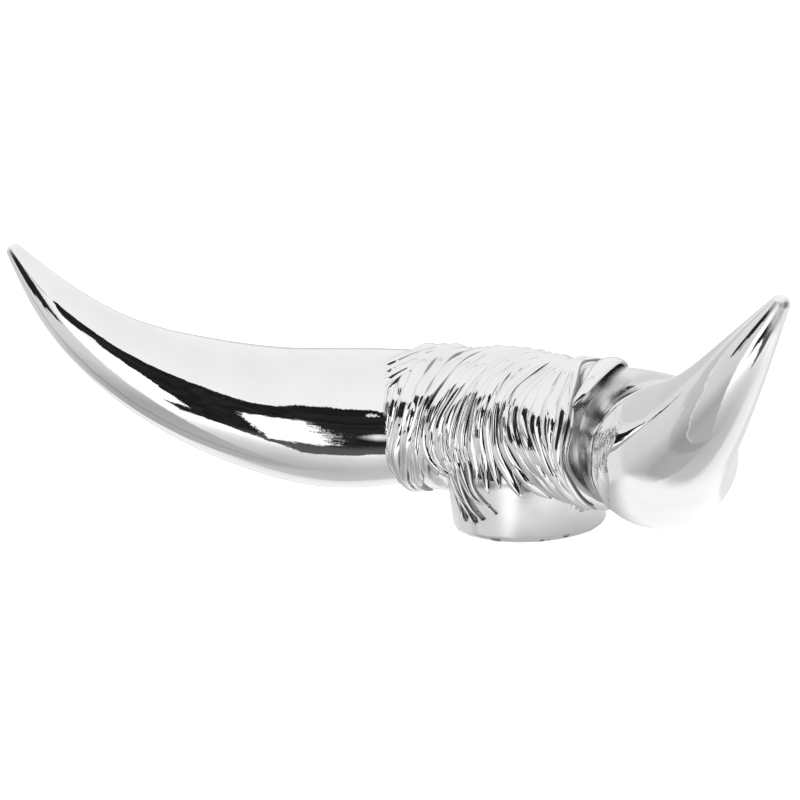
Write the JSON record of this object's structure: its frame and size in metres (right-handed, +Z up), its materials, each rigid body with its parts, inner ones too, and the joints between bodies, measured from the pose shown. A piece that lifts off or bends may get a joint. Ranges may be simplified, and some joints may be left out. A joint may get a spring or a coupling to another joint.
{
  "type": "chromed bull horn ornament",
  "caption": "Polished chrome pair of bull horns that curve forward and up from a collar of sculpted hair on a short round foot; stands on a desk or shelf, or on a bonnet.",
  "frame": {"origin": "Centre of the round foot's flat underside.", "axes": "+X along the span from the left horn's tip to the right horn's tip, -Y the way the horns curve forward, +Z up."},
  "size_m": [0.2886, 0.1169, 0.103],
  "materials": {
    "hair_chrome": "polished chrome plate over a sculpted casting, a little duller in the grooves between the locks and on the foot",
    "horn_chrome": "mirror-polished chrome plate with a faint orange-peel unevenness"
  },
  "bodies": {
    "root": {"hair_collar": "hair_chrome", "left_horn": "horn_chrome", "right_horn": "horn_chrome"}
  },
  "joints": []
}
